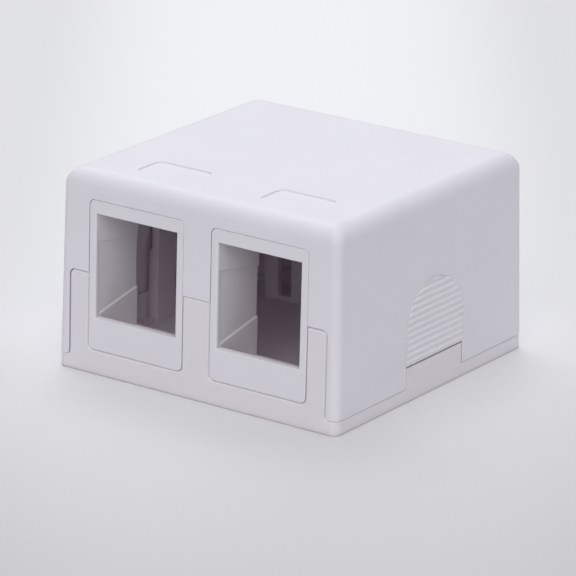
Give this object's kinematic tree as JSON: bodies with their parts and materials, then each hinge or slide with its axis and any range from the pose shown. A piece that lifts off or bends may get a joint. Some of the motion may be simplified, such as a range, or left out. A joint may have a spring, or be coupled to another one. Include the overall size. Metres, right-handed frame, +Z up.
{
  "type": "surface mount junction box",
  "caption": "Square white plastic surface mount box with keystone port inserts in the front, a lift-off cover over a wall base and louvred cable knockouts in the sides and rear.",
  "frame": {"origin": "centre of the bounding box at the underside of the base", "axes": "+Z up from the mounting face to the top of the cover, -Y out of the ports, +X to the right as seen from the front"},
  "size_m": [0.0518, 0.0502, 0.0313],
  "materials": {
    "base_plastic": "white moulded ABS with a fine satin texture",
    "insert_plastic": "white moulded ABS with a fine satin texture",
    "cover_plastic": "white moulded ABS with a fine satin texture"
  },
  "bodies": {
    "base_body": {"base": "base_plastic", "port_insert_left": "insert_plastic", "port_insert_right": "insert_plastic"},
    "cover_body": {"cover": "cover_plastic"}
  },
  "joints": [
    {"name": "cover_lift", "type": "slide", "parent": "base_body", "child": "cover_body", "axis": [0, 0, 1], "range_m": [0, 0.035]}
  ]
}
